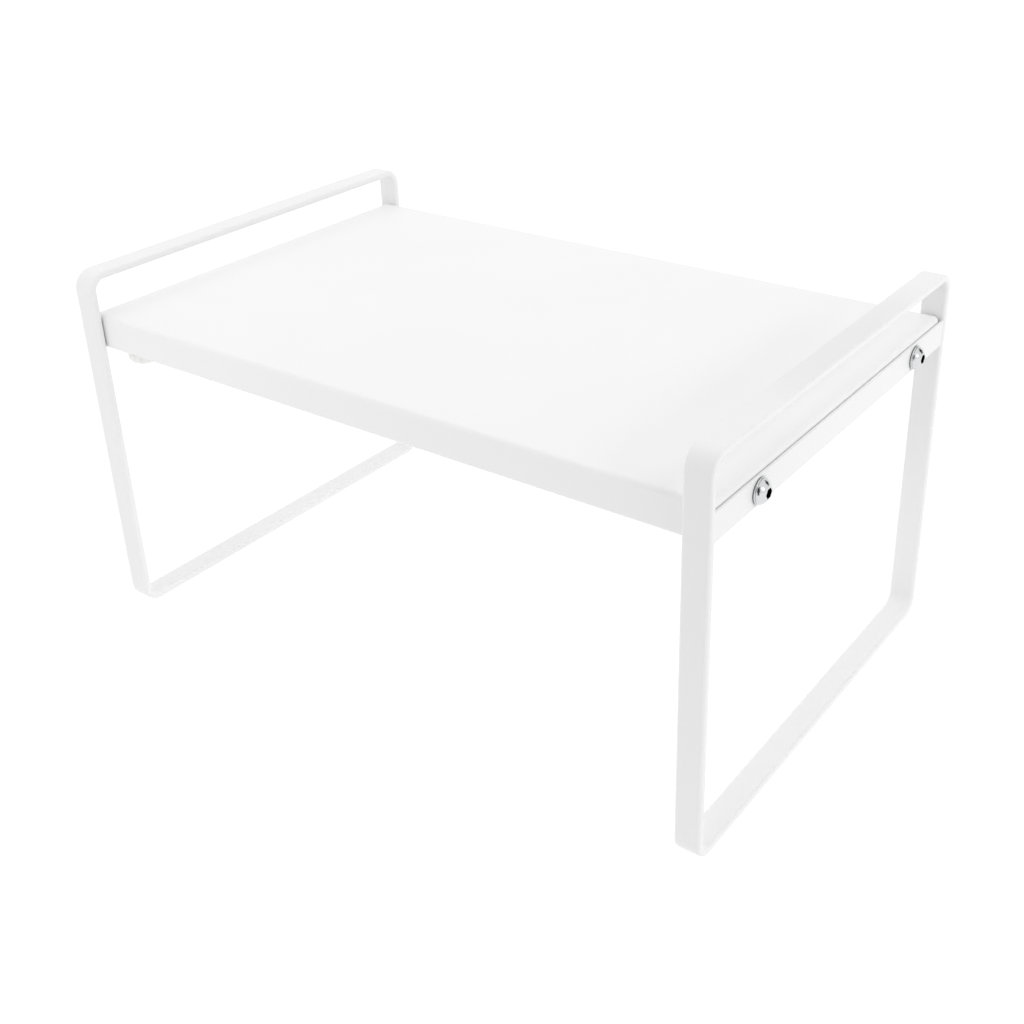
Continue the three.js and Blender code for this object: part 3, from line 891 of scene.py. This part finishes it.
# %% Knobs
KNOB_RADIUS = 7.25
KNOB_EDGE = 0.8
KNOB_LOW_EDGE = 2.6
KNOB_LOW_EDGE_STEPS = 9
KNOB_SIDE_STEP = 0.4
FLUTES = 12
FLUTE_DEPTH = 0.5
STEPS_PER_FLUTE = 12
DISH_RADIUS = 4.2
DISH_DEPTH = 0.4
DISH_BRIM = 0.1
DISH_EASE = 0.15
NUB_RADIUS = 0.8
NUB_HEIGHT = 0.2
ALONG_Z = Vector((0, 0, 1))


def corner_arc(along, radius, edge, along_sign, count=5):
    """A rounded rim between an end face and a side, as outline points from the face to the side."""
    angles = [math.pi / 2 * number / count for number in range(count + 1)]
    return [(along + along_sign * edge * (1 - math.cos(angle)), radius - edge * (1 - math.sin(angle)))
            for angle in angles]


def flute(along, radius, angle):
    """The depth of the knob's flutes, which fade out towards the end faces, for press_in."""
    wave = (1 - math.cos(FLUTES * angle)) / 2
    fade = (radius - KNOB_RADIUS + 2 * KNOB_EDGE) / KNOB_EDGE
    return FLUTE_DEPTH * wave * max(0, min(1, fade))


def thumb_knob(name, bottom, height):
    """A fluted knob with a dished lower face."""
    dish = [(DISH_DEPTH - NUB_HEIGHT, 0), (DISH_DEPTH - NUB_HEIGHT, NUB_RADIUS),
            (DISH_DEPTH, NUB_RADIUS + DISH_EASE), (DISH_DEPTH, DISH_RADIUS - DISH_DEPTH),
            (DISH_BRIM, DISH_RADIUS), (0, DISH_RADIUS + DISH_EASE)]
    low_rim = corner_arc(0, KNOB_RADIUS, KNOB_LOW_EDGE, 1, count=KNOB_LOW_EDGE_STEPS)
    side_ends = (KNOB_LOW_EDGE + KNOB_SIDE_STEP, height - KNOB_EDGE - KNOB_SIDE_STEP)
    side = [(along, KNOB_RADIUS) for along in steps_between(*side_ends, KNOB_SIDE_STEP)]
    high_rim = corner_arc(height, KNOB_RADIUS, KNOB_EDGE, -1)[::-1]
    outline = dish + low_rim + side + high_rim + [(height, 0)]
    knob = turned(name, outline, bottom, ALONG_Z, steps=FLUTES * STEPS_PER_FLUTE)
    press_in(knob, bottom, ALONG_Z, flute)
    return knob


def bottom_middle(node):
    """The middle of a node's lower face, and its height in mm."""
    low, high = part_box(node)
    return Vector(((low.x + high.x) / 2, (low.y + high.y) / 2, low.z)), (high.z - low.z) / MM


front_knob = thumb_knob("front_lock_knob_moulded", *bottom_middle("front_lock_knob"))
stud_bottom, stud_height = bottom_middle("front_lock_stud")
cut(front_knob, add_rod(STUD_RADIUS + BORE_GAP, stud_bottom, stud_bottom + CUT_UP))
smooth(front_knob)
print("knob:", len(front_knob.data.polygons), "faces")

# %% [markdown]
# ### Studs and square nuts
# The stud is a plain length of M5 thread with chamfered ends. It passes the lips of both panels and draws
# down a square nut inside. The nut is pressed from bar, so a block with rounded corners and a bore is all
# that it takes. Both locks are alike, and the rear one is a copy.

# %% Studs and square nuts
STUD_TIP = 0.5
STUD_SIDES = 48
SQUARE_CORNER = 0.6
SQUARE_CORNER_STEPS = 4
SQUARE_EDGE = 0.35
SQUARE_EDGE_STEPS = 3


def threaded_stud(name, bottom, height):
    """A plain M5 stud with chamfered ends."""
    shank = [(along, STUD_RADIUS) for along in steps_between(STUD_TIP, height - STUD_TIP, THREAD_STEP)]
    tip_radius = STUD_RADIUS - STUD_TIP
    outline = [(0, 0), (0, tip_radius)] + shank + [(height, tip_radius), (height, 0)]
    stud = turned(name, outline, bottom, ALONG_Z, steps=STUD_SIDES)
    press_in(stud, bottom, ALONG_Z, thread(PITCH, THREAD_DEPTH, 0, height, STUD_RADIUS))
    map_cross_section(stud, bottom, ALONG_Z)
    return smooth(stud)


def square_nut(name, low, high):
    """A pressed square nut with eased edges."""
    block = add_block(name, low, high)
    with editing(block):
        pick(block, "edges", lambda edge: runs_along(edge, 2))
        bpy.ops.mesh.bevel(offset=SQUARE_CORNER * MM, segments=SQUARE_CORNER_STEPS, affect="EDGES")
    round_sharp_edges(block, SQUARE_EDGE, SQUARE_EDGE_STEPS)
    bore = (low + high) / 2
    cut(block, add_rod(STUD_RADIUS + BORE_GAP, bore - CUT_UP, bore + CUT_UP))
    map_cross_section(block, bore, ALONG_Z)
    return smooth(block)


front_stud = threaded_stud("front_lock_stud_plated", stud_bottom, stud_height)
front_nut = square_nut("front_lock_nut_plated", *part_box("front_lock_nut"))
for first, kind, finish, slot, ending in (
        (front_knob, "knob", white_nylon, "white_nylon", "moulded"),
        (front_stud, "stud", bright_steel, "plated_steel", "plated"),
        (front_nut, "nut", bright_steel, "plated_steel", "plated")):
    node = f"rear_lock_{kind}"
    copy = copy_piece(first, f"{node}_{ending}", offset(node, f"front_lock_{kind}"))
    place_piece(first, f"front_lock_{kind}", finish)
    place_piece(copy, node, finish)

# %% [markdown]
# ## Studio
# The photograph is a white cut-out: the ground is paper white and no shadow falls on it. A white floor under
# lamps would show a shadow. A dark sheet that glows as brightly as white paper shows none, and it lights the
# undersides as a light table would. The air round it glows almost as much.

# %% Ground and air
FLOOR_SIDE = 12000
FLOOR_GLOW = 1.0
AIR_GLOW = 0.95


def studio_paint(name, colour, glow):
    """A plain matt finish that may glow."""
    paint = new_finish(name)
    return join_surface(paint, add_node(paint, "ShaderNodeBsdfPrincipled", {}, {
        "Base Color": linear(colour), "Roughness": 0.9, "Emission Color": linear("#FFFFFF"),
        "Emission Strength": glow}))


def stage_sheet(name, place, facing, width, length, material):
    """A sheet of the studio, facing a direction."""
    bpy.ops.object.select_all(action="DESELECT")
    bpy.ops.mesh.primitive_plane_add(size=1)
    bpy.ops.transform.resize(value=(width * MM, length * MM, 1))
    bpy.ops.object.transform_apply(location=True, rotation=True, scale=True)
    sheet = bpy.context.active_object
    sheet.location = place
    sheet.rotation_euler = facing.to_track_quat("Z", "Y").to_euler()
    bpy.ops.object.transform_apply(location=True, rotation=True, scale=True)
    sheet.name = name
    sheet.data.materials.append(material)
    sheet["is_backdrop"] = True
    return sheet


light_table = studio_paint("light_table_paper", "#303030", FLOOR_GLOW)
stage_sheet("studio_floor", Vector((0, 0, cad_low.z)), ALONG_Z, FLOOR_SIDE, FLOOR_SIDE, light_table)
scene = bpy.context.scene
scene.view_settings.view_transform = "Standard"
scene.world = bpy.data.worlds.new("studio_air")
scene.world.use_nodes = True
air = scene.world.node_tree.nodes["Background"]
air.inputs["Color"].default_value = linear("#FFFFFF")
air.inputs["Strength"].default_value = AIR_GLOW
print("studio: floor glow", FLOOR_GLOW, "air glow", AIR_GLOW)

# %% [markdown]
# ### Black cards
# Bright steel only looks bright beside something dark, so two black cards that only reflections see stand
# where the bolts mirror them, one behind the shelf and one low in front. White paint needs some dark as well.
# A card behind the lens takes light from the faces that look at the camera, and a small flag close over the
# right guard bar takes a little from its middle.

# %% Black cards
BACK_CARD = {"way": Vector((0.46, 0.79, 0.37)), "distance": 800, "width": 350, "length": 350}
LOW_CARD = {"way": Vector((0.61, -0.79, -0.07)), "distance": 500, "width": 170, "length": 185}
LENS_CARD_SIDE = 420
LENS_CARD_BEHIND = 30
FLAG_PLACE = Vector((154, 10, 198))
FLAG_WIDTH = 6
FLAG_LENGTH = 100


def hide_from(thing, *rays):
    """Hides a card or a lamp from some of the rays: camera, diffuse, glossy or shadow."""
    for ray in rays:
        setattr(thing, f"visible_{ray}", False)


def bolt_card(name, way, distance, width, length):
    """A card that faces the right front bolt from one way and that only reflections see."""
    card_place = centre("right_front_bolt") + distance * MM * way
    hide_from(stage_sheet(name, card_place, -way, width, length, black), "camera", "diffuse", "shadow")


black = studio_paint("black_card", "#050505", 0)
bolt_card("black_card_back", **BACK_CARD)
bolt_card("black_card_low", **LOW_CARD)
lens_back = camera_matrix().col[2].xyz
lens_card_place = (CAMERA_PLACE + LENS_CARD_BEHIND * lens_back) * MM
lens_card = stage_sheet("black_card_camera", lens_card_place, -lens_back,
                        LENS_CARD_SIDE, LENS_CARD_SIDE, black)
hide_from(lens_card, "camera")
flag = stage_sheet("black_flag_over_right_end", FLAG_PLACE * MM, -ALONG_Z, FLAG_WIDTH, FLAG_LENGTH, black)
hide_from(flag, "camera", "glossy")
print("cards:", LENS_CARD_SIDE, "mm behind the lens, flag", FLAG_WIDTH, "x", FLAG_LENGTH, "mm")

# %% [markdown]
# ### Lamps
# Ground and air give most of the light, and the lamps only shade it. A large soft box hangs over the left
# half of the shelf. One to the right lights the guard bar and the strip below it, and a small lamp under that
# one is the white spot on each bolt. A weak lamp at the left front lets the long skirt fade towards the
# right, and another under the panels lights the feet. A strip lamp hangs under the left guard bar and takes
# away the shade that the bar would throw. It is a child of that bar, so it moves with it when the shelf is
# drawn out.

# %% Lamps


def soft_box(name, place, target, width, length, watts):
    """A light that looks from one point in mm to another."""
    bpy.ops.object.light_add(type="AREA", location=Vector(place) * MM)
    lamp = bpy.context.active_object
    lamp.name = name
    lamp.rotation_euler = (Vector(place) - Vector(target)).to_track_quat("Z", "Y").to_euler()
    lamp.data.shape = "RECTANGLE"
    lamp.data.size = width * MM
    lamp.data.size_y = length * MM
    lamp.data.energy = watts
    hide_from(lamp, "camera")
    return lamp


soft_box("soft_box_over", (-350, 100, 950), (-50, 0, 150), width=700, length=700, watts=0.95)
right_box = soft_box("soft_box_right", (960, -150, 1060), (160, 0, 148), width=500, length=500, watts=1.6)
hide_from(right_box, "glossy")
soft_box("lamp_right", (1218, -212, 660), (162, -67, 143), width=250, length=250, watts=1.5)
soft_box("lamp_left_front", (-350, -600, 250), (-60, -97, 130), width=300, length=300, watts=0.2)
soft_box("lamp_under_shelf", (0, 0, 105), (0, 0, 0), width=160, length=160, watts=0.08)
strip_lamp = soft_box("strip_lamp_under_left_bar", (-155, 0, 165.8), (-155, 0, 0),
                      width=10, length=190, watts=0.002)
hide_from(strip_lamp, "glossy")
strip_lamp.parent = left_loop

# %% [markdown]
# ## Check and finish
# The pieces should fill the same box as the plain frame.

# %% Finish
shown_low, shown_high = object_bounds()
growth = [*(cad_low - shown_low), *(shown_high - cad_high)]
print("box grows by", [round(step / MM, 3) for step in growth], "mm")
